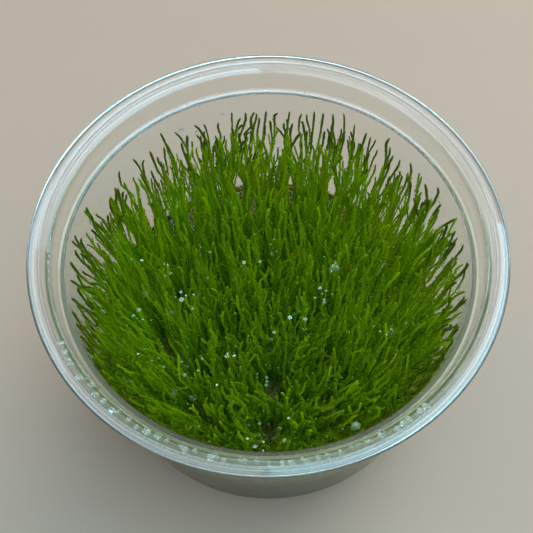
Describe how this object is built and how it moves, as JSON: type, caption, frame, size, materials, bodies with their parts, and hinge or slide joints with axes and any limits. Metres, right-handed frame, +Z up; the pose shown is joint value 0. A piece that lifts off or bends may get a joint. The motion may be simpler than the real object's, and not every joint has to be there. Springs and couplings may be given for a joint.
{
  "type": "moss clump in a clear cup",
  "caption": "Clump of upright green moss shoots on a clear gel layer, in a round, clear plastic cup with a stepped rim and no lid.",
  "frame": {"origin": "centre of the cup's base, on the surface that the cup stands on", "axes": "+Z up through the cup's mouth, +Y to the far side as pictured, +X to the right"},
  "size_m": [0.117, 0.117, 0.066],
  "materials": {
    "clear_plastic": "clear, smooth and glossy, wet with fine droplets inside",
    "clear_gel": "clear, wet, faintly olive growing gel",
    "moss": "fine leafy moss, soft and slightly wet"
  },
  "bodies": {
    "root": {"cup": "clear_plastic", "growing_gel": "clear_gel", "moss_clump": "moss"}
  },
  "joints": []
}
